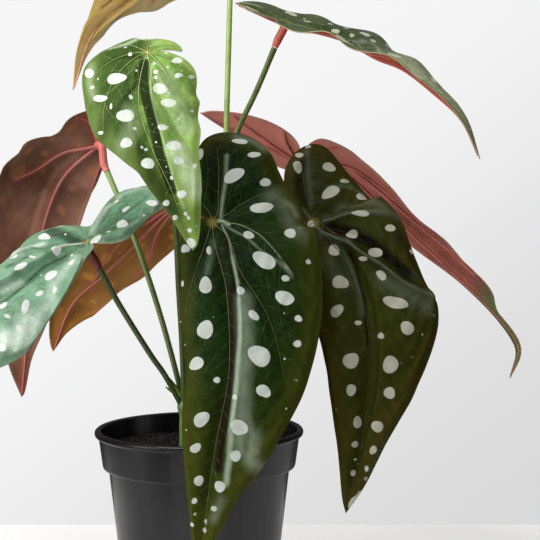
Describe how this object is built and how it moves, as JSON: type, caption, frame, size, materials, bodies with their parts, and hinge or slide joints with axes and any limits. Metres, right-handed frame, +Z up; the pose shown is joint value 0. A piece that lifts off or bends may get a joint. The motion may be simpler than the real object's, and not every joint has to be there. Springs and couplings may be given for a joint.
{
  "type": "potted polka dot begonia",
  "caption": "Angel-wing begonia with long pointed, white-spotted leaves on tall stalks, growing in soil in a round black nursery pot.",
  "frame": {"origin": "middle of the flat underside of the pot, on the surface that it stands on", "axes": "+Z up along the pot's axis, -Y towards the front of the plant, +X to the right of someone who faces the front"},
  "size_m": [0.3971, 0.2793, 0.4806],
  "materials": {
    "pot_plastic": "near-black moulded plastic with a soft satin sheen",
    "soil": "dark brown, crumbly and matt",
    "stem": "smooth green skin, a little glossy",
    "stalk_end": "smooth coral red, a little glossy",
    "leaf_front": "glossy waxy blade, green with silvery spots above and red-brown below",
    "leaf_right": "glossy waxy blade, green with silvery spots above and red-brown below",
    "leaf_upper_left": "glossy waxy blade, green with silvery spots above and red-brown below",
    "leaf_left": "glossy waxy blade, green with silvery spots above and red-brown below",
    "leaf_back_left": "glossy waxy blade, green with silvery spots above and red-brown below",
    "leaf_back_low": "glossy waxy blade, green with silvery spots above and red-brown below",
    "leaf_top_left": "glossy waxy blade, green with silvery spots above and red-brown below",
    "leaf_top_right": "glossy waxy blade, green with silvery spots above and red-brown below",
    "leaf_back_right": "glossy waxy blade, green with silvery spots above and red-brown below"
  },
  "bodies": {
    "root": {"pot": "pot_plastic", "soil": "soil", "stem_tall": "stem", "stem_left": "stem", "stem_back": "stem", "stalk_end_front": "stalk_end", "stalk_end_right": "stalk_end", "stalk_end_upper_left": "stalk_end", "stalk_end_left": "stalk_end", "stalk_end_back_left": "stalk_end", "stalk_end_back_low": "stalk_end", "stalk_end_top_left": "stalk_end", "stalk_end_top_right": "stalk_end", "stalk_end_back_right": "stalk_end", "leaf_front": "leaf_front", "leaf_right": "leaf_right", "leaf_upper_left": "leaf_upper_left", "leaf_left": "leaf_left", "leaf_back_left": "leaf_back_left", "leaf_back_low": "leaf_back_low", "leaf_top_left": "leaf_top_left", "leaf_top_right": "leaf_top_right", "leaf_back_right": "leaf_back_right"}
  },
  "joints": []
}
